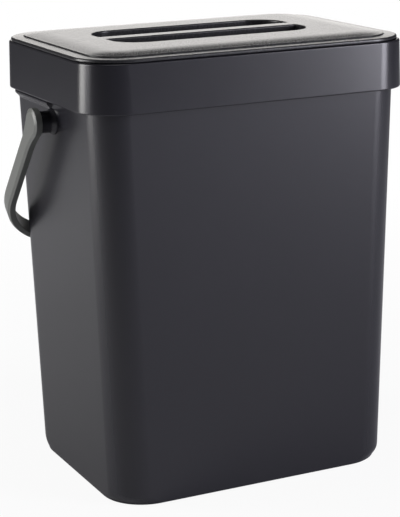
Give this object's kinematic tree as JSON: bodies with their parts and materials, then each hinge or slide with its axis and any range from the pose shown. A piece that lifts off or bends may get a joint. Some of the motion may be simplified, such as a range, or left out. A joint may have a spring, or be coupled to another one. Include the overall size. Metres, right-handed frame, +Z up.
{
  "type": "compost caddy with hinged lid",
  "caption": "Tapered kitchen food-waste bucket with a lift-off bag collar, a hinged lid with a two-slot grip recess, and a strap bail that swings front to rear.",
  "frame": {"origin": "centre of the face that the caddy stands on", "axes": "+X to the right seen from the front, +Y to the rear where the lid is hinged, +Z up"},
  "size_m": [0.2084, 0.1483, 0.248],
  "materials": {
    "shell": "satin anthracite polypropylene, faint moulded grain",
    "lid": "satin anthracite polypropylene, smoother and glossier than the walls",
    "strap": "satin mid-grey polypropylene",
    "seal": "matt black elastomer",
    "pin": "drawn steel wire"
  },
  "bodies": {
    "bucket": {"bucket": "shell"},
    "collar": {"collar": "shell", "hinge_pin_left": "pin", "hinge_pin_right": "pin"},
    "lid": {"lid_top": "lid", "lid_pan": "shell", "lid_seal": "seal"},
    "bail": {"bail": "strap"}
  },
  "joints": [
    {"name": "collar_lift", "type": "slide", "parent": "bucket", "child": "collar", "axis": [0, 0, 1], "range_m": [0, 0.04]},
    {"name": "lid_hinge", "type": "hinge", "parent": "collar", "child": "lid", "pos_m": [0, 0.0745, 0.2412], "axis": [-1, 0, 0], "range_deg": [0, 105]},
    {"name": "bail_swing", "type": "hinge", "parent": "bucket", "child": "bail", "pos_m": [0, 0, 0.2054], "axis": [1, 0, 0], "range_deg": [0, 275]}
  ]
}
